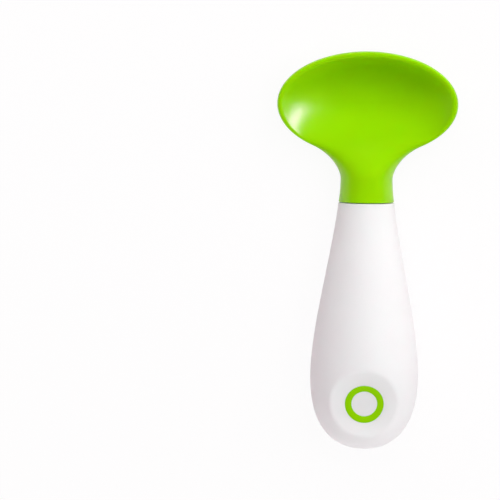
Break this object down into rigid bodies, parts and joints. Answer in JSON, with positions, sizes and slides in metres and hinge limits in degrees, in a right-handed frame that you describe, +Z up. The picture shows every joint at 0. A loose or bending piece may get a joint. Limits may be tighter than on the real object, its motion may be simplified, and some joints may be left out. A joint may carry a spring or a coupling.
{
  "type": "baby spoon",
  "caption": "Self-feeding baby spoon: a wide, shallow oval scoop bowl on a short round neck, set in a chunky pear-shaped handle with a round thumb dish.",
  "frame": {"origin": "middle of the spoon's underside box, on the surface it lies on", "axes": "+Y along the spoon towards the bowl, +Z up out of the bowl's open side, X across the bowl"},
  "size_m": [0.0526, 0.1163, 0.0315],
  "materials": {
    "head": "satin lime green",
    "handle": "matte white"
  },
  "bodies": {
    "root": {"spoon_head": "head", "handle_front_shell": "handle", "handle_back_shell": "handle"}
  },
  "joints": []
}
